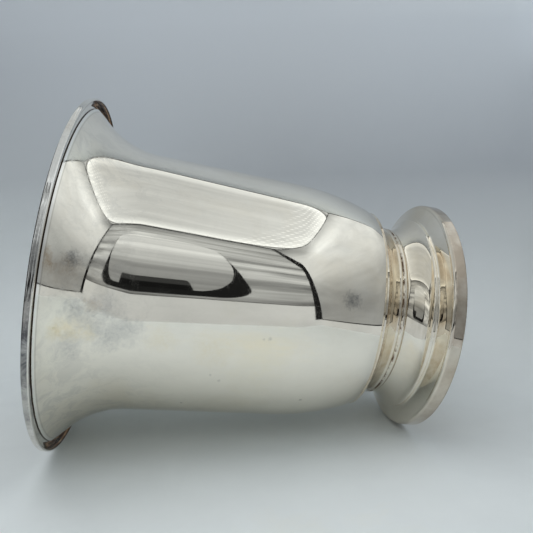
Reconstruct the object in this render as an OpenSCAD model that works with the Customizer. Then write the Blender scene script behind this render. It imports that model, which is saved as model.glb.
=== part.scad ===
// Silver champagne bucket. A spun bell-shaped bowl with an applied rim moulding
// stands on a spun pedestal foot, and one central stud and nut hold the two together.
// Millimetres. +Z runs up the bucket's axis, and the origin is the middle of the
// circle on which the foot rests.

/* [Bowl] */
// Thickness of the bowl's sheet
bowl_t = 1.4; // [1:0.1:2]
// Height of the bowl's underside above the table
bowl_z = 42; // [41.8:0.1:42.2]
// Radius of the flat middle of the bowl's underside
bowl_flat_r = 61.7; // [61.4:0.1:62]
// Radius of the bend between the bottom and the hip
corner_r = 6; // [5.8:0.1:6.2]
// Radius of the hip, where the bowl comes out of the foot
hip_r = 49.5; // [40:0.5:60]
// Radius of the long shoulder above the hip
shoulder_r = 170; // [140:1:200]
// Length of the straight side above the shoulder
side_l = 92.6; // [60:0.1:130]
// Radius of the flare under the rim
flare_r = 54.5; // [45:0.5:65]
// Angle through which the flare turns outward
flare_turn = 51; // [40:1:56]

/* [Rim moulding] */
// Sheet thickness of the moulding
rim_t = 1; // [0.8:0.1:1]
// Length of the slope that carries on from the bowl's lip
rim_rise = 2.4; // [1.5:0.1:4]
// Radius of the moulding's crown
crown_r = 5; // [3:0.5:8]
// Width of the flat between the crown and the outer edge
rim_flat = 0.9; // [0.4:0.1:2]
// Radius of the outer edge's upper bead
edge_bead_r = 1.5; // [1.3:0.1:1.8]
// Radius of the lower bead, where the edge curls under
hem_r = 1.2; // [1.1:0.1:1.5]

/* [Foot] */
// Sheet thickness of the foot and its collar
foot_t = 1.2; // [0.9:0.1:1.2]
// Outside radius of the top of the neck
neck_r = 57.4; // [56.8:0.1:58]
// Height of the top of the neck
neck_z = 28; // [27:0.1:28.2]
// Height of the beaded ring between the neck and the collar
ring_h = 6; // [5:0.1:6]
// Height of the ring's lower bead
bead_h = 3.5; // [3:0.1:4]
// How far the lower bead swells
bead_swell = 0.7; // [0.3:0.1:1]
// Height of the collar's lip, where it meets the bowl
lip_z = 44.5; // [44.2:0.1:44.8]
// How far the lip's outer edge stands off the bowl
lip_stand = 1; // [0.9:0.1:1.2]
// How far the collar's hollow bows inward
collar_bow = 1.3; // [0.8:0.1:1.3]
// Diameter of the foot over its base band
foot_d = 156.2; // [152:0.2:164]
// Height of the base band
band_h = 8.6; // [7.8:0.1:9]
// Radial thickness of the base band
band_w = 4.2; // [3.6:0.1:6]
// Radius of the band's lower edge
band_round = 0.8; // [0.4:0.1:1.4]
// Radius of the band's upper edge
band_crown = 2.4; // [1.8:0.1:2.6]
// Radius of the hollow neck
hollow_r = 16.5; // [16:0.1:17]
// Radius of the rounded step below the neck
step_round = 1.3; // [1.3:0.1:1.5]
// Height of the upright wall below the step
step_wall = 1.2; // [0.8:0.1:1.4]
// Radius of the fillet at the foot of that wall
fillet_r = 0.9; // [0.6:0.1:1.2]
// How far the spreading foot bows outward
spread_bow = 0.1; // [0.1:0.1:0.4]

/* [Central fixing] */
// Thickness of the disc that closes the neck
web_t = 1.5; // [1:0.1:2]
// Thread diameter of the stud
stud_d = 8; // [6:1:10]
// Diameter of the boss soldered under the bowl
boss_d = 46; // [36:1:60]
// Height of that boss
boss_h = 5; // [3:0.5:8]
// Height of the stud's lower end above the table
stud_end = 13; // [12:0.5:14]
// Diameter of the clamp plate
clamp_d = 62; // [50:1:76]
// Width of the nut across its flats
nut_af = 13; // [13:1:17]
// Thickness of the nut
nut_h = 6.5; // [5:0.5:7]

/* [Hidden] */
$fn = 96;

silver = [0.84, 0.83, 0.80];
warm_silver = [0.80, 0.76, 0.68];
dull_brass = [0.66, 0.56, 0.36];
plain_steel = [0.55, 0.55, 0.56];

// Largest turn of one straight step along a round stretch
step_turn = 4;
// Turns of the bend, the hip and the shoulder, which bring the side almost upright
corner_turn = 59.4;
hip_turn = 12;
shoulder_turn = 15.5;
side_lean = corner_turn + hip_turn + shoulder_turn;
// The rim's edge turns down round its upper bead, out again at a crease, and in round
// the lower bead
edge_turn = 115;
crease_r = 0.3;
crease_turn = 50;
// The neck starts almost upright and turns outward. The step brings the outline upright again.
neck_lean = 6;
neck_turn = 56;
step_back = -neck_lean - neck_turn;
fillet_turn = 70;

// A path in the plane of radius and height starts at p with heading h. Each move is
// [radius, turn]. A radius of 0 is a straight run, whose length stands in for the turn.
function heading(h) = [cos(h), sin(h)];
function left(v) = [-v[1], v[0]];
function unit(v) = v / norm(v);
function last(list) = list[len(list) - 1];
function rest(list) = [for (i = [1 : len(list) - 1]) list[i]];
function reversed(list) = [for (i = [len(list) - 1 : -1 : 0]) list[i]];
function turned(move) = move[0] == 0 ? 0 : move[1];
function bend(p, h, r, turn) =
    let (side = sign(turn), n = ceil(abs(turn) / step_turn))
    [for (i = [1 : n])
        p + r * side * (left(heading(h)) - left(heading(h + turn * i / n)))];
function stretch(p, h, move) =
    move[0] == 0 ? [p + move[1] * heading(h)] : bend(p, h, move[0], move[1]);
function trace(p, h, moves, i = 0) =
    i == len(moves) ? [p] :
    let (run = stretch(p, h, moves[i]), head = [for (k = [0 : 1 : len(run) - 2]) run[k]])
    concat([p], head, trace(last(run), h + turned(moves[i]), moves, i + 1));

// The same path moved sideways by t, to the left of its heading
function beside(path, i, t) =
    let (before = unit(path[max(i, 1)] - path[max(i, 1) - 1]),
        j = min(i, len(path) - 2), after = unit(path[j + 1] - path[j]),
        mid = unit(left(before) + left(after)))
    path[i] + mid * t / (mid * left(before));
function moved(path, t) = [for (i = [0 : len(path) - 1]) beside(path, i, t)];
function sheet(path, t) = concat(path, reversed(moved(path, t)));
// An arc from a to b that bows to the left of the straight line by the given rise
function bowed(a, b, rise) =
    let (half = norm(b - a) / 2, turn = 4 * atan(rise / half),
        r = half / sin(abs(turn) / 2), line = b - a, h = atan2(line[1], line[0]))
    trace(a, h + turn / 2, [[r, -turn]]);
// Radius of a rising path at height z
function radius_at(path, z) = lookup(z, [for (p = path) [p[1], p[0]]]);

bowl_path = trace([bowl_flat_r, bowl_z], 0, [
    [corner_r, corner_turn], [hip_r, hip_turn], [shoulder_r, shoulder_turn],
    [0, side_l], [flare_r, -flare_turn]]);
bowl_top = last(bowl_path);
lip_heading = side_lean - flare_turn;
rim_path = trace(bowl_top + bowl_t * left(heading(lip_heading)), lip_heading, [
    [0, rim_rise], [crown_r, -lip_heading], [0, rim_flat], [edge_bead_r, -edge_turn],
    [crease_r, crease_turn], [hem_r, -edge_turn]]);

ring_z = neck_z + ring_h;
ring_stand = 1.1;
ring_r = neck_r + ring_stand;
ring_w = 4;
// The waist between the ring's two beads lies this far inside the top of the ring
waist_depth = 0.6;
upper_swell = 0.4;
lip_r = radius_at(bowl_path, lip_z) + lip_stand;
collar_path = bowed([ring_r, ring_z], [lip_r, lip_z], collar_bow);

band_r = foot_d / 2;
web_z = neck_z - web_t;
neck_path = trace([neck_r, neck_z], neck_lean - 90, [
    [hollow_r, neck_turn], [step_round, step_back],
    [0, step_wall], [fillet_r, fillet_turn]]);
spread_path = bowed(last(neck_path), [band_r - band_crown, band_h], spread_bow);
foot_path = concat(neck_path, rest(spread_path));

stud_r = stud_d / 2;
plate_t = 1.6;
washer_border = 4.4;
washer_r = stud_r + washer_border;
hole_gap = 0.5;
// Cutting shapes run this far past what they cut
past = 1;
plate_z = web_z - plate_t;
washer_z = plate_z - plate_t;
nut_z = washer_z - nut_h;

module spun(outline) { rotate_extrude() polygon(outline); }
module disc(r, z0, z1, hole) {
    translate([0, 0, z0]) difference() {
        cylinder(r = r, h = z1 - z0);
        translate([0, 0, -past]) cylinder(r = hole, h = z1 - z0 + 2 * past);
    }
}
// Everything that the bowl's outer skin encloses
module bowl_block() { spun(concat([[0, bowl_z]], bowl_path, [[0, bowl_top[1]]])); }

module bowl() {
    inner = reversed(moved(bowl_path, bowl_t));
    color(silver) spun(concat([[0, bowl_z]], bowl_path, inner, [[0, bowl_z + bowl_t]]));
}

module rim_moulding() { color(silver) spun(sheet(rim_path, -rim_t)); }

module foot_collar() {
    color(warm_silver) difference() {
        spun(sheet(collar_path, foot_t));
        bowl_block();
    }
}

// Two beads, the lower one the fuller
module neck_ring() {
    waist = [ring_r - waist_depth, neck_z + bead_h];
    outer = concat(
        bowed([neck_r, neck_z], waist, -bead_swell),
        bowed(waist, [ring_r, ring_z], -upper_swell));
    inner_r = neck_r - ring_w;
    color(warm_silver) spun(concat([[inner_r, neck_z]], outer, [[inner_r, ring_z]]));
}

// Everything up to the top of the base band is cut away, so the shell stands on the band
module foot_shell() {
    color(warm_silver) difference() {
        spun(sheet(foot_path, -foot_t));
        translate([0, 0, -band_h]) cylinder(r = foot_d, h = 2 * band_h);
    }
}

// Flat disc let into the top of the neck, with a hole for the stud
module foot_web() {
    color(dull_brass) difference() {
        disc(neck_r, web_z, neck_z, stud_r + hole_gap);
        spun(sheet(foot_path, -foot_t));
    }
}

// Solid band with both its outer edges rounded
module foot_rim() {
    outer = trace([band_r - band_round, 0], 0, [
        [band_round, 90], [0, band_h - band_round - band_crown], [band_crown, 90]]);
    inner_r = band_r - band_w;
    color(warm_silver) spun(concat([[inner_r, 0]], outer, [[inner_r, band_h]]));
}

module stud_boss() { color(dull_brass) disc(boss_d / 2, bowl_z - boss_h, bowl_z, stud_r); }

module foot_stud() {
    color(plain_steel) translate([0, 0, stud_end]) cylinder(r = stud_r, h = bowl_z - stud_end);
}

// Flat plate that bears up against the web
module clamp_plate() { color(dull_brass) disc(clamp_d / 2, plate_z, web_z, stud_r + hole_gap); }

module plain_washer() {
    color(plain_steel) disc(washer_r, washer_z, plate_z, stud_r + hole_gap);
}

module foot_nut() {
    color(plain_steel) translate([0, 0, nut_z]) difference() {
        cylinder(r = nut_af / sqrt(3), h = nut_h, $fn = 6);
        translate([0, 0, -past]) cylinder(r = stud_r, h = nut_h + 2 * past);
    }
}

bowl();
rim_moulding();
foot_collar();
neck_ring();
foot_shell();
foot_rim();
foot_web();
stud_boss();
foot_stud();
clamp_plate();
plain_washer();
foot_nut();
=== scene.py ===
import math
import bpy
from mathutils import Matrix, Vector


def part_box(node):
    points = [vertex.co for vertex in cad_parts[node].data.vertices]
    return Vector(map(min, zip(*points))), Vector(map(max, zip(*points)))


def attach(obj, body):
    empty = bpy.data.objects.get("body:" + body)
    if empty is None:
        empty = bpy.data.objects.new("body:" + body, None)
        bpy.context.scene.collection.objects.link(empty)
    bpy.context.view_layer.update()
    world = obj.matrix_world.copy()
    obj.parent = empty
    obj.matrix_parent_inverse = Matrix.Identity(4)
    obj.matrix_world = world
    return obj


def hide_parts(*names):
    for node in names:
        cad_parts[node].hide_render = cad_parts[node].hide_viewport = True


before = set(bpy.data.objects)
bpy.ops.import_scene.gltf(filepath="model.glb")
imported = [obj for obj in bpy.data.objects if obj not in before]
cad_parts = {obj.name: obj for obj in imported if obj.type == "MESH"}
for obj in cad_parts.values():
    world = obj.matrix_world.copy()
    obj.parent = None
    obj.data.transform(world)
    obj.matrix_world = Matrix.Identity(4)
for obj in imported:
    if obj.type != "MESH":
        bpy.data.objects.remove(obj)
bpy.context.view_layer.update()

MM = 0.001
TAU = 2 * math.pi

# ---------------------------------------------------------------- sizes, in millimetres
# The outside sizes are read off the CAD parts in model.glb; the rest repeat the CAD model's own. A pair such
# as CORNER
# is one move along an outline: a radius and the degrees turned along it, to the left if positive.
RIM_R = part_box("rim_moulding")[1].x / MM
RIM_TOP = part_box("rim_moulding")[1].z / MM
FOOT_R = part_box("foot_rim")[1].x / MM
BAND_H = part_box("foot_rim")[1].z / MM
BOWL_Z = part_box("bowl")[0].z / MM
NECK_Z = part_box("neck_ring")[0].z / MM
RING_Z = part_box("neck_ring")[1].z / MM

BOWL_T = 1.4
BOWL_FLAT_R = 61.7
CORNER = (6, 59.4)
HIP = (49.5, 12)
SHOULDER = (170, 15.5)
SIDE = 92.6
FLARE = (54.5, -51)

RIM_T = 1.0
RIM_FACE = 2.4
RIM_TURN_R = 5
RIM_WALL = 0.9
UPPER_BEAD = (1.5, -115)
GROOVE = (0.3, 50)
LOWER_BEAD = (1.2, -115)
SEAM_R = 107.2

FOOT_T = 1.2
COLLAR_BOW = 1.3
LIP_Z = 44.5
LIP_CLEAR = 1.0
NECK_R = 57.4
RING_R = NECK_R + 1.1
RING_DEPTH = 4
WAIST_IN = 0.6
WAIST_UP = 3.5
LOWER_BULGE = 0.7
UPPER_BULGE = 0.4
NECK_HEADING = -84
NECK = (16.5, 56)
STEP = (1.3, -62)
STEP_WALL = 1.2
STEP_FILLET = (0.9, 70)
SPREAD_BOW = 0.1
BAND_W = 4.2
BAND_SOLE_R = 0.8
BAND_TOP_R = 2.4

# ---------------------------------------------------------------- outlines


def heading(h):
    """The unit vector at h degrees."""
    return Vector((math.cos(math.radians(h)), math.sin(math.radians(h))))


def left(v):
    """The vector turned a quarter turn to its left."""
    return Vector((-v.y, v.x))


def trace(start, h, moves, step=1.0):
    """Points along moves of (radius, turn), from start with heading h. A move of (0, length) is straight."""
    points = [Vector(start)]
    for radius, turn in moves:
        if radius == 0:
            count = max(1, round(turn / (2 * step)))
            run = [points[-1] + heading(h) * turn * i / count for i in range(1, count + 1)]
        else:
            side = math.copysign(1, turn)
            count = max(2, math.ceil(abs(turn) / step))
            hub = points[-1] + left(heading(h)) * radius * side
            run = [hub - left(heading(h + turn * i / count)) * radius * side for i in range(1, count + 1)]
            h += turn
        points += run
    return points


def bowed(a, b, rise, step=1.0):
    """An arc from a to b that bows to the left of the straight line by rise, or to the right below 0."""
    a, b = Vector(a), Vector(b)
    half = (b - a).length / 2
    turn = math.degrees(4 * math.atan(rise / half))
    radius = half / math.sin(math.radians(abs(turn)) / 2)
    line = b - a
    return trace(a, math.degrees(math.atan2(line.y, line.x)) + turn / 2, [(radius, -turn)], step)


def moved(path, t):
    """The path moved sideways by t, to the left of its heading."""
    out = []
    for i, p in enumerate(path):
        before = (path[max(i, 1)] - path[max(i, 1) - 1]).normalized()
        after = (path[min(i + 1, len(path) - 1)] - path[min(i, len(path) - 2)]).normalized()
        mid = (left(before) + left(after)).normalized()
        out.append(p + mid * t / mid.dot(left(before)))
    return out


def sheet(path, t):
    """The closed outline of a sheet of thickness t to the left of the path, or to its right below 0."""
    return path + moved(path, t)[::-1]


def radius_at(path, z):
    """The path's radius at height z."""
    for a, b in zip(path, path[1:]):
        if a.y <= z <= b.y:
            return a.x + (b.x - a.x) * (z - a.y) / max(b.y - a.y, 1e-9)
    return path[-1].x


bowl_path = trace((BOWL_FLAT_R, BOWL_Z), 0, [CORNER, HIP, SHOULDER, (0, SIDE), FLARE])


def on_bowl(angle, z):
    """The point in metres on the bowl's outside at that angle in degrees and height in mm."""
    a = math.radians(angle)
    r = radius_at(bowl_path, z)
    return Vector((r * math.cos(a), r * math.sin(a), z)) * MM


# ---------------------------------------------------------------- meshes

ROUND_STEPS = 256
SHARP_ANGLE = math.radians(28)


def lathe(name, outline):
    """A closed mesh made by turning a closed outline of (radius, height) in mm round the axis."""
    rings, verts = [], []
    for p in outline:
        if p.x < 1e-6:
            rings.append([len(verts)])
            verts.append(Vector((0, 0, p.y)) * MM)
            continue
        rings.append(list(range(len(verts), len(verts) + ROUND_STEPS)))
        for i in range(ROUND_STEPS):
            a = TAU * i / ROUND_STEPS
            verts.append(Vector((p.x * math.cos(a), p.x * math.sin(a), p.y)) * MM)
    faces = []
    for k, ring in enumerate(rings):
        other = rings[(k + 1) % len(rings)]
        if len(ring) == 1 and len(other) == 1:
            continue
        for i in range(ROUND_STEPS):
            j = (i + 1) % ROUND_STEPS
            if len(ring) == 1:
                faces.append((ring[0], other[j], other[i]))
            elif len(other) == 1:
                faces.append((ring[i], ring[j], other[0]))
            else:
                faces.append((ring[i], ring[j], other[j], other[i]))
    mesh = bpy.data.meshes.new(name)
    mesh.from_pydata(verts, [], faces)
    mesh.validate()
    mesh.shade_smooth()
    mesh.set_sharp_from_angle(angle=SHARP_ANGLE)
    piece = bpy.data.objects.new(name, mesh)
    bpy.context.scene.collection.objects.link(piece)
    return piece


def stand_in(piece, material, node):
    """The piece rides the one body, takes the given material and stands in for that CAD node, which is
    hidden.
    """
    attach(piece, "root")
    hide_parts(node)
    piece.data.materials.clear()
    piece.data.materials.append(material)


# ---------------------------------------------------------------- materials


class Nodes:
    """A short way to build a node tree."""

    def __init__(self, name):
        self.material = bpy.data.materials.new(name)
        self.material.use_nodes = True
        self.tree = self.material.node_tree
        self.tree.nodes.clear()

    def add(self, kind, inputs=None, **settings):
        node = self.tree.nodes.new(kind)
        for key, value in settings.items():
            setattr(node, key, value)
        for key, value in (inputs or {}).items():
            self.put(node.inputs[key], value)
        return node

    def put(self, socket, value):
        if isinstance(value, bpy.types.NodeSocket):
            self.tree.links.new(value, socket)
        else:
            socket.default_value = value

    def math(self, operation, a, b=0.0):
        return self.add("ShaderNodeMath", {0: a, 1: b}, operation=operation).outputs[0]

    def distance(self, a, b):
        """The length of a step of a one way and b across it."""
        return self.math("SQRT", self.math("ADD", self.math("MULTIPLY", a, a), self.math("MULTIPLY", b, b)))

    def mix(self, factor, a, b):
        node = self.add("ShaderNodeMix", data_type="RGBA")
        self.put(node.inputs["Factor"], factor)
        self.put(node.inputs["A"], a)
        self.put(node.inputs["B"], b)
        return node.outputs["Result"]

    def ramp(self, value, low, high, to_low=0.0, to_high=1.0):
        node = self.add("ShaderNodeMapRange", clamp=True)
        names = ("Value", "From Min", "From Max", "To Min", "To Max")
        for key, v in zip(names, (value, low, high, to_low, to_high)):
            self.put(node.inputs[key], v)
        return node.outputs[0]

    def noise(self, vector, scale, detail=3.0, rough=0.5, stretch=(1, 1, 1), distortion=0.0):
        scaled = self.add("ShaderNodeMapping", {"Vector": vector, "Scale": stretch})
        noise = self.add("ShaderNodeTexNoise", {
            "Vector": scaled.outputs[0], "Scale": scale, "Detail": detail, "Roughness": rough,
            "Distortion": distortion})
        return noise.outputs[0]

    def finish(self, shader):
        self.add("ShaderNodeOutputMaterial", {"Surface": shader})
        return self.material


def spun_coordinates(n, x, y, z):
    """Coordinates that follow the spun surface: round the axis, along it, and out from it."""
    angle = n.math("ARCTAN2", y, x)
    radius = n.distance(x, y)
    round_way = n.math("MULTIPLY", angle, 0.08)
    return radius, n.add("ShaderNodeCombineXYZ", {"X": round_way, "Y": z, "Z": radius}).outputs[0]


def spot(n, here, centre, size, soft):
    """1 at the centre, falling to 0 at size metres from it, with a ragged edge and a mottled middle.
    soft is the share of the size over which it falls."""
    away = n.add("ShaderNodeVectorMath", {0: here, 1: centre}, operation="DISTANCE").outputs["Value"]
    edge = n.noise(here, 1.6 / size, 6, 0.68, distortion=0.8)
    ragged = n.math("ADD", away, n.ramp(edge, 0.25, 0.75, -0.55 * size, 0.55 * size))
    mottle = n.ramp(n.noise(here, 5.5 / size, 7, 0.75, distortion=0.6), 0.38, 0.58, 0.4, 1.0)
    return n.math("MULTIPLY", n.ramp(ragged, size * (1 - soft), size, 1, 0), mottle)


def silver(name, colour, tarnish, amount, haze, zones):
    """Polished silver plate with cloudy tarnish, grey mottling, hazy wipe marks, turning lines, hairline
    scratches and a slight waviness. zones(n, here, x, y, z, radius, normal, base, roughness) changes
    the colour and the roughness by place."""
    n = Nodes(name)
    source = n.add("ShaderNodeTexCoord")
    here, normal = source.outputs["Object"], source.outputs["Normal"]
    x, y, z = n.add("ShaderNodeSeparateXYZ", {0: here}).outputs
    radius, wrapped = spun_coordinates(n, x, y, z)
    cloud = n.noise(here, 20, 5, 0.6, distortion=0.6)
    patch = n.noise(here, 8, 2, 0.5)
    stain = n.ramp(n.math("ADD", n.math("MULTIPLY", cloud, 0.6), n.math("MULTIPLY", patch, 0.4)), 0.47, 0.66)
    base = n.mix(n.math("MULTIPLY", stain, amount), colour, tarnish)
    mottle = n.noise(here, 110, 7, 0.75, stretch=(1, 1, 0.7), distortion=0.7)
    handled = n.ramp(z, 0.15, 0.215, 0.25, 1.0)
    handled = n.math("MULTIPLY", n.ramp(patch, 0.42, 0.6, 0.35, 1.0), handled)
    dimmed = n.math("MULTIPLY", n.ramp(mottle, 0.47, 0.58), handled)
    base = n.mix(n.math("MULTIPLY", dimmed, 0.42), base, DULL_GREY)
    wipes = n.noise(wrapped, 34, 5, 0.65, stretch=(0.5, 1, 1), distortion=1.2)
    smear = n.ramp(wipes, 0.48, 0.72)
    scratch = n.noise(here, 260, 3, 0.7, stretch=(0.15, 1, 1.2), distortion=2.0)
    hairline = n.ramp(n.math("ABSOLUTE", n.math("SUBTRACT", scratch, 0.5)), 0.0, 0.02, 1, 0)
    turning = n.noise(wrapped, 900, 2, 0.5, stretch=(0.01, 1, 1))
    roughness = n.math("ADD", n.math("MULTIPLY", smear, haze), n.math("MULTIPLY", hairline, 0.05))
    roughness = n.math("ADD", roughness, n.math("MULTIPLY", dimmed, 0.12))
    roughness = n.math("ADD", roughness, 0.015)
    base, roughness = zones(n, here, x, y, z, radius, normal, base, roughness)
    wave = n.noise(here, 13, 2, 0.4)
    ripple = n.noise(here, 60, 2, 0.5)
    height = n.math("ADD", n.math("MULTIPLY", wave, 1.0), n.math("MULTIPLY", ripple, 0.035))
    height = n.math("ADD", height, n.math("MULTIPLY", turning, 0.003))
    height = n.math("SUBTRACT", height, n.math("MULTIPLY", hairline, 0.0007))
    bump = n.add("ShaderNodeBump", {"Strength": 1.0, "Distance": 0.00028, "Height": height})
    shader = n.add("ShaderNodeBsdfPrincipled", {
        "Base Color": base, "Metallic": 1.0, "Roughness": roughness, "Normal": bump.outputs[0]})
    return n.finish(shader.outputs[0])


def upward(n, normal):
    """The upward part of the normal: 1 where the surface faces the bucket's mouth, -1 towards its foot."""
    return n.add("ShaderNodeSeparateXYZ", {0: normal}).outputs["Z"]


def body_zones(n, here, x, y, z, radius, normal, base, roughness):
    """The stains, a painted highlight along the lip with a painted shadow line below it, and a satin,
    water-marked inside.
    """
    inside = n.ramp(upward(n, normal), -0.02, 0.02)
    marks = n.ramp(n.noise(here, 45, 5, 0.65, distortion=1.5), 0.45, 0.7)
    lining = n.mix(n.math("MULTIPLY", marks, 0.6), (0.80, 0.76, 0.67, 1), (0.62, 0.55, 0.43, 1))
    for angle, height, size, tint, strength in STAINS:
        mask = n.math("MULTIPLY", spot(n, here, on_bowl(angle, height), size * MM, 0.9), strength)
        base = n.mix(mask, base, tint)
        roughness = n.math("ADD", roughness, n.math("MULTIPLY", mask, 0.12))
    # Painted highlight: the lip's outermost band is painted paler.
    lip = n.ramp(radius, (SEAM_R - 1.2) * MM, (SEAM_R - 0.9) * MM)
    base = n.mix(n.math("MULTIPLY", lip, 0.85), base, (1.0, 0.98, 0.93, 1))
    # Painted shadow: a dark line is painted just inside the lip, in the smoky stain grey.
    shadow = n.math("ABSOLUTE", n.math("SUBTRACT", radius, (SEAM_R - 1.5) * MM))
    base = n.mix(n.ramp(shadow, 0.0001, 0.0004, 0.3, 0), base, SMOKE_AND_SHADE)
    base = n.mix(inside, base, lining)
    satin = n.math("ADD", n.math("MULTIPLY", marks, 0.12), 0.16)
    extra = n.math("MULTIPLY", inside, satin)
    return base, n.math("ADD", roughness, extra)


def rim_zones(n, here, x, y, z, radius, normal, base, roughness):
    """Brown tarnish with a copper streak inside the outer wall, a stretch of the outer face that is worn
    dark, and a painted shadow along the seam against the bowl's lip."""
    nx, ny, nz = n.add("ShaderNodeSeparateXYZ", {0: normal}).outputs
    outward = n.math("DIVIDE", n.math("ADD", n.math("MULTIPLY", x, nx), n.math("MULTIPLY", y, ny)), radius)
    inward = n.ramp(outward, -0.05, -0.45)
    depth = n.math("ABSOLUTE", n.math("SUBTRACT", z, (RIM_TOP - 2.7) * MM))
    streak = n.ramp(depth, 0.0002, 0.0006, 1, 0)
    grime = n.ramp(n.noise(here, 90, 4, 0.6), 0.35, 0.65)
    brown = n.mix(grime, (0.020, 0.010, 0.006, 1), (0.12, 0.055, 0.025, 1))
    bared = n.ramp(n.noise(here, 150, 3), 0.3, 0.7)
    copper = n.mix(bared, (0.45, 0.22, 0.12, 1), (0.68, 0.46, 0.28, 1))
    gutter = n.mix(streak, brown, copper)
    base = n.mix(inward, base, gutter)
    near_edge = n.ramp(radius, (RIM_R - 3.4) * MM, (RIM_R - 2.0) * MM)
    corner = n.math("MULTIPLY", n.ramp(nz, -0.2, -0.7), near_edge)
    corner = n.math("MULTIPLY", corner, n.ramp(outward, 0.25, 0.05))
    base = n.mix(n.math("MULTIPLY", corner, 0.9), base, brown)
    worn = spot(n, here, (-0.03, -0.108, 0.235), 0.085, 0.8)
    high = n.ramp(z, (RIM_TOP - 3.5) * MM, (RIM_TOP - 3.2) * MM)
    face = n.math("MULTIPLY", n.ramp(outward, 0.2, 0.6), high)
    base = n.mix(n.math("MULTIPLY", n.math("MULTIPLY", face, worn), 0.95), base, (0.10, 0.10, 0.11, 1))
    # Painted shadow: near black where the rim meets the bowl's lip, on faces turned towards the foot.
    near_lip = n.ramp(radius, (SEAM_R + 0.6) * MM, (SEAM_R + 0.3) * MM)
    seam = n.math("MULTIPLY", near_lip, n.ramp(nz, 0.1, -0.1))
    base = n.mix(seam, base, (0.05, 0.035, 0.025, 1))
    roughness = n.math("ADD", roughness, n.math("MULTIPLY", n.math("ADD", inward, seam), 0.25))
    return base, roughness


def foot_zones(n, here, x, y, z, radius, normal, base, roughness):
    """Dirt in the ring's groove, a brown film over the ring, a worn base band and a stained underside."""
    groove = n.math("ABSOLUTE", n.math("SUBTRACT", z, (NECK_Z + 3.4) * MM))
    caught = n.ramp(groove, 0.0003, 0.0011, 1, 0)
    specks = n.ramp(n.noise(here, 130, 4, 0.7), 0.45, 0.56)
    dirt = n.math("MULTIPLY", caught, specks)
    base = n.mix(n.math("MULTIPLY", dirt, 0.95), base, (0.10, 0.045, 0.02, 1))
    above_neck = n.ramp(z, (NECK_Z - 1) * MM, (NECK_Z + 7) * MM)
    film = n.math("MULTIPLY", above_neck, n.ramp(n.noise(here, 60, 4), 0.4, 0.6))
    base = n.mix(n.math("MULTIPLY", film, 0.6), base, (0.55, 0.42, 0.28, 1))
    on_band = n.ramp(z, BAND_H * MM, (BAND_H - 2) * MM)
    worn = n.math("MULTIPLY", on_band, n.ramp(n.noise(here, 38, 5, 0.6), 0.38, 0.6, 0.45, 1))
    base = n.mix(n.math("MULTIPLY", worn, 0.85), base, (0.44, 0.36, 0.28, 1))
    below_ring = n.ramp(z, (NECK_Z + 2) * MM, NECK_Z * MM)
    under = n.math("MULTIPLY", n.ramp(upward(n, normal), -0.02, -0.15), below_ring)
    stain = n.ramp(n.noise(here, 50, 5, 0.65), 0.4, 0.65)
    dull = n.mix(stain, (0.50, 0.44, 0.36, 1), (0.24, 0.17, 0.11, 1))
    base = n.mix(n.math("MULTIPLY", under, 0.75), base, dull)
    rougher = n.math("ADD", n.math("MULTIPLY", under, 0.25), n.math("MULTIPLY", dirt, 0.4))
    return base, n.math("ADD", roughness, rougher)


def worked_metal(name, bright, dark, rough, lines):
    """Bare brass or steel: turned, stained and dull."""
    n = Nodes(name)
    here = n.add("ShaderNodeTexCoord").outputs["Object"]
    x, y, z = n.add("ShaderNodeSeparateXYZ", {0: here}).outputs
    radius, wrapped = spun_coordinates(n, x, y, z)
    stain = n.ramp(n.noise(here, 70, 5, 0.65, distortion=0.8), 0.38, 0.68)
    turned = n.noise(wrapped, 1500, 2, 0.5, stretch=(0.01, 1, 1))
    base = n.mix(stain, bright, dark)
    roughness = n.math("ADD", n.math("MULTIPLY", stain, 0.2), rough)
    height = n.math("ADD", n.math("MULTIPLY", turned, lines), n.math("MULTIPLY", stain, 0.05))
    bump = n.add("ShaderNodeBump", {"Strength": 1.0, "Distance": 0.0001, "Height": height})
    shader = n.add("ShaderNodeBsdfPrincipled", {
        "Base Color": base, "Metallic": 1.0, "Roughness": roughness, "Normal": bump.outputs[0]})
    return n.finish(shader.outputs[0])


SILVER = (0.95, 0.90, 0.80, 1)
TARNISH = (0.74, 0.63, 0.45, 1)
YELLOW = (0.86, 0.76, 0.55, 1)
BROWN = (0.58, 0.45, 0.31, 1)
DULL_GREY = (0.60, 0.585, 0.55, 1)
# A smoky grey: the colour of some stains, and of the painted shadow line below the bowl's lip
SMOKE_AND_SHADE = (0.28, 0.28, 0.27, 1)
CREAM = (1.0, 0.96, 0.84, 1)
STRAW = (0.95, 0.88, 0.70, 1)
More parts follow.
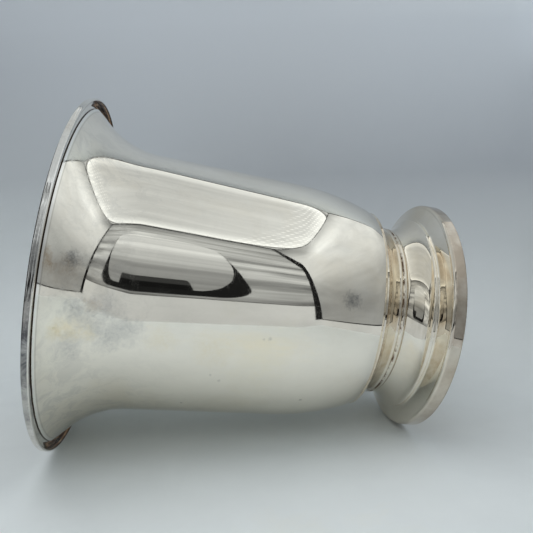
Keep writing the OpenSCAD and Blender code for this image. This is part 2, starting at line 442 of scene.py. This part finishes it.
# Stains on the outside of the bowl: angle in degrees, height and radius in mm, colour and strength
STAINS = (
    (-104, 225, 14, CREAM, 0.8),
    (-100, 223, 10, CREAM, 0.7),
    (-117.5, 226, 9, CREAM, 0.5),
    (-81.5, 227, 10, CREAM, 0.6),
    (-108, 224, 7, YELLOW, 0.9),
    (-109.5, 218, 6, YELLOW, 0.8),
    (-110, 211, 6, YELLOW, 0.7),
    (-111, 174, 10, YELLOW, 0.4),
    (-114, 146, 14, YELLOW, 0.4),
    (-101.5, 219, 8, DULL_GREY, 0.9),
    (-104, 212, 10, DULL_GREY, 0.8),
    (-114.5, 220, 11, DULL_GREY, 0.7),
    (-110.5, 201, 12, DULL_GREY, 0.9),
    (-108, 190, 11, DULL_GREY, 0.7),
    (-99.5, 203, 10, DULL_GREY, 0.6),
    (-100.5, 210, 6, BROWN, 0.35),
    (-88.5, 230.5, 6, BROWN, 0.9),
    (-86, 232, 5, BROWN, 0.7),
    (-86.5, 221, 6.5, SMOKE_AND_SHADE, 0.95),
    (-89.5, 223, 10, BROWN, 0.4),
    (-87.5, 69, 6.5, SMOKE_AND_SHADE, 1.0),
    (-117, 118, 30, STRAW, 0.5),
    (-107, 114, 1.4, SMOKE_AND_SHADE, 0.5),
    (-107.5, 117.5, 1.1, SMOKE_AND_SHADE, 0.4),
    (-129, 138.5, 1.4, SMOKE_AND_SHADE, 0.5),
    (-126, 144, 1.0, SMOKE_AND_SHADE, 0.5),
    (-140, 87, 1.4, SMOKE_AND_SHADE, 0.8),
    (-147.5, 158, 1.0, SMOKE_AND_SHADE, 0.9),
)

body_silver = silver("body_silver", SILVER, TARNISH, 0.3, 0.05, body_zones)
foot_silver = silver("foot_silver", (0.90, 0.845, 0.745, 1), TARNISH, 0.55, 0.05, foot_zones)
rim_silver = silver("rim_silver", (0.86, 0.84, 0.80, 1), TARNISH, 0.5, 0.06, rim_zones)
brass = worked_metal("brass", (0.62, 0.45, 0.22, 1), (0.26, 0.16, 0.07, 1), 0.28, 0.5)
steel = worked_metal("steel", (0.42, 0.41, 0.39, 1), (0.20, 0.15, 0.11, 1), 0.35, 0.3)

# ---------------------------------------------------------------- the bucket

bowl_outline = [Vector((0, BOWL_Z))] + sheet(bowl_path, BOWL_T) + [Vector((0, BOWL_Z + BOWL_T))]
bowl = lathe("spun_bowl", bowl_outline)
stand_in(bowl, body_silver, "bowl")

LIP_HEADING = sum(turn for radius, turn in (CORNER, HIP, SHOULDER, FLARE))
rim_start = bowl_path[-1] + BOWL_T * left(heading(LIP_HEADING))
rim_moves = [(0, RIM_FACE), (RIM_TURN_R, -LIP_HEADING), (0, RIM_WALL), UPPER_BEAD, GROOVE, LOWER_BEAD]
rim = lathe("rim_channel", sheet(trace(rim_start, LIP_HEADING, rim_moves, 4), -RIM_T))
stand_in(rim, rim_silver, "rim_moulding")

collar_path = bowed((RING_R, RING_Z), (radius_at(bowl_path, LIP_Z) + LIP_CLEAR, LIP_Z), COLLAR_BOW, 2)
collar = lathe("collar", sheet(collar_path, FOOT_T))
stand_in(collar, foot_silver, "foot_collar")

waist = (RING_R - WAIST_IN, NECK_Z + WAIST_UP)
ring_outer = bowed((NECK_R, NECK_Z), waist, -LOWER_BULGE, 4)
ring_outer += bowed(waist, (RING_R, RING_Z), -UPPER_BULGE, 4)[1:]
ring_in = NECK_R - RING_DEPTH
ring = lathe("beaded_ring", [Vector((ring_in, NECK_Z))] + ring_outer + [Vector((ring_in, RING_Z))])
stand_in(ring, foot_silver, "neck_ring")

# The foot's outline runs down and out: a hollow neck, a rounded step, a small fillet and a flat spread.
neck_path = trace((NECK_R, NECK_Z), NECK_HEADING, [NECK, STEP, (0, STEP_WALL), STEP_FILLET])
spread_path = bowed(neck_path[-1], (FOOT_R - BAND_TOP_R, BAND_H), SPREAD_BOW)
shell = lathe("spun_foot", sheet(neck_path + spread_path[1:], -FOOT_T))
stand_in(shell, foot_silver, "foot_shell")

band_moves = [(BAND_SOLE_R, 90), (0, BAND_H - BAND_SOLE_R - BAND_TOP_R), (BAND_TOP_R, 90)]
band_outer = trace((FOOT_R - BAND_SOLE_R, 0), 0, band_moves, 4)
band_in = FOOT_R - BAND_W
band = lathe("base_band", [Vector((band_in, 0))] + band_outer + [Vector((band_in, BAND_H))])
stand_in(band, foot_silver, "foot_rim")

BARE_NODES = (
    (brass, ("foot_web", "stud_boss", "clamp_plate")),
    (steel, ("foot_stud", "plain_washer", "foot_nut")),
)
for metal, nodes in BARE_NODES:
    for node in nodes:
        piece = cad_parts[node]
        piece.data.materials.clear()
        piece.data.materials.append(metal)

# ---------------------------------------------------------------- the light tent
# The bucket lies on its side. The tent's own axes: X runs along the bucket towards its foot,
# Y away from the camera and Z straight up from the floor that the rim and the foot touch.
# LEAN is its slope as it lies on its rim and its foot, SPIN how far it has rolled round its own
# axis, and TURN how far it is turned on the floor.
LEAN = math.atan2(RIM_R - FOOT_R, RIM_TOP)
SPIN = math.radians(-7.74)
TURN = math.radians(-12.98)
studio = (
    Matrix.Rotation(SPIN, 4, "Z")
    @ Matrix.Rotation(math.pi / 2 - LEAN, 4, "Y")
    @ Matrix.Translation((0, 0, -FOOT_R * MM * math.cos(LEAN)))
    @ Matrix.Rotation(TURN, 4, "Z")
)

# The tent's planes and its cards' sizes, in metres
FRONT, BACK, RIGHT, LEFT, ROOF = -0.317, 0.15, 0.113, -0.55, 0.445
ROOF_BACK = 0.089
CUSHION_ROUND = 0.055
CUSHION_INSET = 0.006
LAMP_ROWS = 0.013
LAMP_PITCH = 0.017
# The right side slants outward behind the bucket, clear of the view, and a little at its foot.
RIGHT_BACK = RIGHT + 0.05
RIGHT_FOOT = RIGHT + 0.014
# Above BEND it leans in to meet the roof's back corner.
RIGHT_TOP = RIGHT - 0.02
BEND = 0.33
# The roof bulges over the right side's top, most of all towards the front.
BULGE = 0.04
BULGE_SKEW = 0.6
TOP_DIP = 0.8 * BULGE
SEAM_W = 0.004
APRON_TOP = 0.096
SKIRT_TOP = 0.03
# Piping and seams lie this far in front of the cloth.
PROUD = 0.001
ROOF_PIPING_W = 0.010
CORNER_PIPING_W = (0.027, 0.008)
BACK_PIPING_W = (0.013, 0.009)
APRON_PIPING = (-0.001, 0.0015)
SKIRT_PIPING = (-0.001, 0.003)
# The front side's opening has round corners. A black lining shows inside its lower and right edges.
# These and PHONE give the left, right, low and high edge, and the corners' width and height.
OPEN = (-0.26, 0.004, 0.105, 0.352, 0.045, 0.045)
LINING = (-0.26, 0.006, 0.124, 0.42, 0.062, 0.17)
LINING_GAP = 0.004
PHONE = (-0.0863, -0.011, 0.03, 0.188, 0.006, 0.010)
PHONE_Y = -0.45
ROOM_EDGES = (-1.4, 1.2, -0.3, 1.6)
ROOM_Y = -1.0
SWEEP_EDGES = (-1.5, 1.2)
SWEEP_FRONT = -1.2
SWEEP_TOP = 0.8
SWEEP_R = 0.12
SWEEP_STEPS = 18
DAYLIGHT = (0.92, 0.975, 1.0)


def lamp_cloth(name, level_of):
    """A lit cloth. level_of(n, here, x, y, z) gives its brightness by place, in the tent's axes."""
    n = Nodes(name)
    here = n.add("ShaderNodeTexCoord").outputs["Object"]
    x, y, z = n.add("ShaderNodeSeparateXYZ", {0: here}).outputs
    light = n.add("ShaderNodeEmission", {"Color": (*DAYLIGHT, 1), "Strength": level_of(n, here, x, y, z)})
    return n.finish(light.outputs[0])


def plain_cloth(name, level):
    """An evenly lit cloth with a faint mottle."""
    def level_of(n, here, x, y, z):
        return n.ramp(n.noise(here, 9, 3), 0.3, 0.7, level * 0.9, level * 1.1)

    return lamp_cloth(name, level_of)


def hang(name, points, faces, material):
    """A panel of the tent, in the tent's axes. The camera doesn't see it, and it casts no shadow."""
    mesh = bpy.data.meshes.new(name)
    mesh.from_pydata([Vector(p) for p in points], [], faces)
    mesh.materials.append(material)
    panel = bpy.data.objects.new(name, mesh)
    bpy.context.scene.collection.objects.link(panel)
    panel.matrix_world = studio
    panel.visible_camera = False
    panel.visible_shadow = False


def card(name, corners, material):
    """A flat panel with one face."""
    hang(name, corners, [tuple(range(len(corners)))], material)


def upright(name, x0, x1, z0, z1, y, material):
    """An upright rectangle that faces the front."""
    card(name, [(x0, y, z0), (x1, y, z0), (x1, y, z1), (x0, y, z1)], material)


def level_card(name, x0, x1, y0, y1, z, material):
    """A level rectangle."""
    card(name, [(x0, y0, z), (x1, y0, z), (x1, y1, z), (x0, y1, z)], material)


def along_right(name, inset, z0, z1, material):
    """A panel along the foot of the right side, inset into the tent."""
    front, back = RIGHT_FOOT - inset, RIGHT_BACK - inset
    card(name, [(front, FRONT, z0), (back, BACK, z0), (back, BACK, z1), (front, FRONT, z1)], material)


def roof_level(n, here, x, y, z):
    """A cushion with round corners and rows of small lamps, brighter at its edges and grey outside."""
    skewed = n.math("POWER", n.ramp(y, FRONT, ROOF_BACK), BULGE_SKEW)
    bulge = n.math("MULTIPLY", n.math("SINE", n.math("MULTIPLY", skewed, math.pi)), BULGE)
    slant = n.ramp(y, FRONT, ROOF_BACK, RIGHT, RIGHT_TOP)
    edge = n.math("ADD", bulge, slant)
    from_right = n.math("SUBTRACT", edge, x)
    along = n.math("MAXIMUM", n.math("SUBTRACT", CUSHION_INSET + CUSHION_ROUND, from_right), 0)
    half = (ROOF_BACK - FRONT) / 2 - CUSHION_INSET - CUSHION_ROUND
    across = n.math("ABSOLUTE", n.math("SUBTRACT", y, (FRONT + ROOF_BACK) / 2))
    across = n.math("MAXIMUM", n.math("SUBTRACT", across, half), 0)
    reach = n.distance(along, across)
    inset = n.math("SUBTRACT", CUSHION_ROUND, reach)
    cushion = n.ramp(inset, 0.004, 0.052, 0.97, 0.62)
    border = n.ramp(inset, -0.004, -0.02, 0.16, 0.55)
    within = n.ramp(inset, -0.001, 0.002)
    rows = n.math("COSINE", n.math("MULTIPLY", x, TAU / LAMP_ROWS))
    lamps = n.math("COSINE", n.math("MULTIPLY", y, TAU / LAMP_PITCH))
    dots = n.ramp(n.math("ADD", rows, lamps), 0.7, 1.7, 0, 1)
    strip = n.math("MULTIPLY", n.ramp(from_right, 0.02, 0.03), n.ramp(from_right, 0.10, 0.075))
    cushion = n.math("ADD", cushion, n.math("MULTIPLY", n.math("MULTIPLY", dots, strip), 0.28))
    outside = n.math("MULTIPLY", border, n.math("SUBTRACT", 1, within))
    level = n.math("ADD", n.math("MULTIPLY", cushion, within), outside)
    crease = n.noise(here, 9, 5, 0.6, stretch=(0.5, 3, 1), distortion=0.8)
    level = n.math("MULTIPLY", level, n.ramp(x, -0.10, 0.08, 1.0, 1.22))
    return n.math("MULTIPLY", level, n.ramp(crease, 0.3, 0.7, 0.90, 1.08))


def side_level(n, here, x, y, z):
    """Grey at the roof, bright just below, dim towards the floor and dark in the upper front corner."""
    from_front = n.math("SUBTRACT", y, FRONT)
    below_roof = n.math("SUBTRACT", ROOF, z)
    from_corner = n.distance(from_front, below_roof)
    level = n.ramp(z, 0.10, 0.37, 0.30, 0.95)
    folded = n.noise(here, 6, 4, 0.5, stretch=(1, 0.6, 1.6), distortion=0.6)
    level = n.math("MULTIPLY", level, n.ramp(folded, 0.3, 0.7, 0.68, 1.22))
    level = n.math("MULTIPLY", level, n.ramp(from_corner, 0.02, 0.15, 0.35, 1.0))
    return n.math("MULTIPLY", level, n.ramp(z, ROOF, ROOF - 0.07, 0.55, 1.0))


def front_level(n, here, x, y, z):
    """Crumpled along its width: pale under the roof, dark near the floor."""
    folds = n.noise(here, 13, 6, 0.62, stretch=(0.16, 1, 2.0), distortion=0.5)
    base = n.ramp(x, -0.16, 0.06, 0.68, 0.48)
    base = n.math("MULTIPLY", base, n.ramp(z, 0.11, 0.25, 0.5, 1.0))
    base = n.math("MULTIPLY", base, n.ramp(z, ROOF, ROOF - 0.045, 0.3, 1.0))
    return n.math("MULTIPLY", base, n.ramp(folds, 0.36, 0.64, 0.42, 1.6))


def room_level(n, here, x, y, z):
    """A dim, streaked room that gets lighter higher up."""
    level = n.ramp(z, 0.42, 0.80, 0.25, 0.74)
    streaks = n.noise(here, 3.2, 5, 0.6, stretch=(0.12, 1, 2.4), distortion=0.4)
    return n.math("MULTIPLY", level, n.ramp(streaks, 0.35, 0.65, 0.72, 1.28))


def camera_level(n, here, x, y, z):
    """Black, and a little paler near its top."""
    return n.ramp(z, 0.158, 0.163, 0.008, 0.04)


roof_cloth = lamp_cloth("roof_cloth", roof_level)
side_cloth = lamp_cloth("side_cloth", side_level)
front_cloth = lamp_cloth("front_cloth", front_level)
room = lamp_cloth("room_beyond", room_level)
pale = plain_cloth("pale_cloth", 0.56)
grey = plain_cloth("grey_piping", 0.13)
black = plain_cloth("black_piping", 0.012)
slate = plain_cloth("slate", 0.035)
dark_wall = plain_cloth("dark_wall", 0.07)
camera_black = lamp_cloth("camera_black", camera_level)

level_card("roof", LEFT, RIGHT + 2 * BULGE, FRONT, ROOF_BACK, ROOF, roof_cloth)


def right_top(t, drop):
    """A point along the right side's top edge, from the front, t = 0, to the roof's back, t = 1."""
    dip = TOP_DIP * math.sin(math.pi * t ** BULGE_SKEW)
    return (RIGHT + (RIGHT_TOP - RIGHT) * t, FRONT + (ROOF_BACK - FRONT) * t, ROOF - dip - drop)


EDGE_STEPS = 24
top_edge = [right_top(i / EDGE_STEPS, 0) for i in range(EDGE_STEPS + 1)]
seam_edge = [right_top(i / EDGE_STEPS, SEAM_W) for i in range(EDGE_STEPS + 1)]
lower_edges = [(RIGHT_FOOT, FRONT, SKIRT_TOP), (RIGHT_BACK, BACK, SKIRT_TOP), (RIGHT_BACK, BACK, BEND)]
card("right_side", lower_edges + top_edge[::-1], side_cloth)
card("right_seam", [(x - PROUD, y, z) for x, y, z in top_edge + seam_edge[::-1]], black)
along_right("right_skirt", 2 * PROUD, 0, SKIRT_TOP, pale)
card("left_side", [(LEFT, FRONT, 0), (LEFT, BACK, 0), (LEFT, BACK, ROOF), (LEFT, FRONT, ROOF)], dark_wall)
upright("apron", LEFT, RIGHT_FOOT, 0, APRON_TOP, FRONT, pale)


def rounded(x0, x1, z0, z1, wide, tall, steps=12):
    """A rectangle whose corners are quarter ellipses. The upper ones are less tall where room is short."""
    top = max(z1 - tall, z0 + tall)
    corners = (
        (x1 - wide, z0 + tall, tall, -90),
        (x1 - wide, top, z1 - top, 0),
        (x0 + wide, top, z1 - top, 90),
        (x0 + wide, z0 + tall, tall, 180),
    )
    points = []
    for x, z, high, start in corners:
        for i in range(steps + 1):
            a = math.radians(start + 90 * i / steps)
            points.append((x + wide * math.cos(a), z + high * math.sin(a)))
    return points


def holed_wall(name, outer, hole, y, material):
    """A wall between an outer rectangle and a rounded hole."""
    x0, x1, z0, z1 = outer
    corners = [(x1, z0), (x1, z1), (x0, z1), (x0, z0)]
    quarter = len(hole) // 4
    faces = []
    for k in range(4):
        arc = range(k * quarter, (k + 1) * quarter)
        corner, after = len(hole) + k, len(hole) + (k + 1) % 4
        faces += [(i, i + 1, corner) for i in arc[:-1]]
        faces.append((arc[-1], (arc[-1] + 1) % len(hole), after, corner))
    hang(name, [(x, y, z) for x, z in hole + corners], faces, material)


holed_wall("front_side", (LEFT, RIGHT_FOOT, APRON_TOP, ROOF), rounded(*OPEN), FRONT, front_cloth)
holed_wall("lining", (LEFT, RIGHT, APRON_TOP, ROOF), rounded(*LINING), FRONT - LINING_GAP, black)

# Piping along the tent's edges, seen as thin dark lines in the silver
wide, narrow = BACK_PIPING_W
level_card("roof_back_piping", LEFT, RIGHT, ROOF_BACK - PROUD, ROOF_BACK + narrow, ROOF - PROUD, black)
piping_back, piping_top = RIGHT_BACK + PROUD, RIGHT_TOP + PROUD
card("back_corner_piping", [
    (piping_back - wide, BACK - PROUD, SKIRT_TOP),
    (piping_back, BACK - PROUD, SKIRT_TOP),
    (piping_back, BACK - PROUD, BEND),
    (piping_top, ROOF_BACK - PROUD, ROOF),
    (piping_top - narrow, ROOF_BACK - PROUD, ROOF),
    (piping_back - wide, BACK - PROUD, BEND),
], black)
upright("roof_front_piping", LEFT, RIGHT, ROOF - ROOF_PIPING_W, ROOF, FRONT + PROUD, slate)
wide, narrow = CORNER_PIPING_W
card("corner_piping", [
    (RIGHT_FOOT - wide, FRONT + PROUD, SKIRT_TOP),
    (RIGHT_FOOT, FRONT + PROUD, SKIRT_TOP),
    (RIGHT, FRONT + PROUD, ROOF),
    (RIGHT - narrow, FRONT + PROUD, ROOF),
], black)
below, above = APRON_PIPING
upright("apron_piping", LEFT, RIGHT_FOOT, APRON_TOP + below, APRON_TOP + above, FRONT + PROUD, grey)
below, above = SKIRT_PIPING
along_right("skirt_piping", 3 * PROUD, SKIRT_TOP + below, SKIRT_TOP + above, slate)

card("camera_body", [(x, PHONE_Y, z) for x, z in rounded(*PHONE, 4)], camera_black)
upright("room", *ROOM_EDGES, ROOM_Y, room)


def sheet_material():
    """White sheet with painted shade: the floor is brightest and the upright back is painted greyer, with
    painted light near the roof's lamps. It only shows from the front.
    """
    n = Nodes("white_sheet")
    here = n.add("ShaderNodeTexCoord").outputs["Object"]
    x, y, z = n.add("ShaderNodeSeparateXYZ", {0: here}).outputs
    floor = (0.80, 0.845, 0.86, 1)
    # Painted shade: the upright back gets a darker grey than the floor, lighter again higher up.
    upper = (0.42, 0.45, 0.49, 1)
    base = n.mix(n.ramp(z, 0.03, 0.19), floor, upper)
    base = n.mix(n.ramp(z, 0.19, 0.34), base, (0.56, 0.60, 0.65, 1))
    # Low down, the painted shade fades back to the floor's colour towards the left and the right.
    to_the_left = n.math("MULTIPLY", n.ramp(x, -0.1, -0.45, 0, 0.6), n.ramp(z, 0.3, 0.12))
    base = n.mix(to_the_left, base, floor)
    to_the_right = n.math("MULTIPLY", n.ramp(x, 0, 0.12, 0, 0.5), n.ramp(z, 0.2, 0.1))
    base = n.mix(to_the_right, base, floor)
    weave = n.noise(here, 30, 5, 0.6, distortion=0.5)
    base = n.mix(n.ramp(weave, 0.3, 0.75, 0, 0.12), base, (0.55, 0.58, 0.60, 1))
    stained = spot(n, here, (-0.05, -0.20, 0), 0.07, 1.0)
    base = n.mix(n.math("MULTIPLY", stained, 0.35), base, (0.86, 0.82, 0.66, 1))
    # Painted light: the back is painted paler just below the roof's lamps.
    painted_lamp_glow = n.math("MULTIPLY", n.ramp(z, 0.33, 0.43), n.ramp(x, -0.1, 0.1))
    base = n.mix(painted_lamp_glow, base, (0.74, 0.78, 0.79, 1))
    cloth = n.add("ShaderNodeBsdfPrincipled", {
        "Base Color": base, "Roughness": 0.8, "Specular IOR Level": 0.2})
    clear = n.add("ShaderNodeBsdfTransparent")
    back = n.add("ShaderNodeNewGeometry").outputs["Backfacing"]
    shown = n.add("ShaderNodeMixShader", {0: back, 1: cloth.outputs[0], 2: clear.outputs[0]})
    return n.finish(shown.outputs[0])


def sweep():
    """The floor and the back as one sheet."""
    path = [(SWEEP_FRONT, 0), (FRONT, 0), (BACK - SWEEP_R, 0)]
    for i in range(1, SWEEP_STEPS + 1):
        a = math.pi / 2 * i / SWEEP_STEPS
        path.append((BACK - SWEEP_R + SWEEP_R * math.sin(a), SWEEP_R - SWEEP_R * math.cos(a)))
    path += [(BACK, BEND), (ROOF_BACK, ROOF), (ROOF_BACK - 0.01, SWEEP_TOP)]
    verts = [(x, y, z) for y, z in path for x in SWEEP_EDGES]
    faces = [(2 * i, 2 * i + 1, 2 * i + 3, 2 * i + 2) for i in range(len(path) - 1)]
    mesh = bpy.data.meshes.new("sweep")
    mesh.from_pydata([Vector(v) for v in verts], [], faces)
    mesh.shade_smooth()
    obj = bpy.data.objects.new("sweep", mesh)
    obj.data.materials.append(sheet_material())
    bpy.context.scene.collection.objects.link(obj)
    obj.matrix_world = studio


sweep()


def lamp(name, place, size, power):
    """A soft lamp over the floor, which the silver doesn't mirror."""
    light = bpy.data.lights.new(name, "AREA")
    light.shape = "RECTANGLE"
    light.size, light.size_y = size
    light.energy = power
    light.color = (1.0, 0.99, 0.97)
    obj = bpy.data.objects.new(name, light)
    bpy.context.scene.collection.objects.link(obj)
    obj.matrix_world = studio @ Matrix.Translation(place)
    obj.visible_glossy = False


lamp("roof_lamp", (-0.15, -0.12, ROOF - 0.02), (0.7, 0.35), 0.9)

world = bpy.data.worlds.new("World")
bpy.context.scene.world = world
world.use_nodes = True
sky = world.node_tree.nodes["Background"]
sky.inputs["Color"].default_value = (0.6, 0.62, 0.64, 1)
sky.inputs["Strength"].default_value = 0.7

# ---------------------------------------------------------------- the camera

# In the tent's axes: the place in metres, the angles in degrees and the lens in mm
CAMERA_AT = (-0.0638, -0.3953, 0.1511)
PAN, TILT, ROLL = 6.21, 84.33, -0.52
LENS = 36.27

camera = bpy.data.objects.new("camera", bpy.data.cameras.new("camera"))
bpy.context.scene.collection.objects.link(camera)
camera.data.sensor_width = 36
camera.data.lens = LENS
camera.data.clip_start = 0.01
camera.matrix_world = (
    studio
    @ Matrix.Translation(CAMERA_AT)
    @ Matrix.Rotation(math.radians(PAN), 4, "Z")
    @ Matrix.Rotation(math.radians(TILT), 4, "X")
    @ Matrix.Rotation(math.radians(ROLL), 4, "Z")
)
bpy.context.scene.camera = camera
bpy.context.scene.view_settings.view_transform = "Standard"
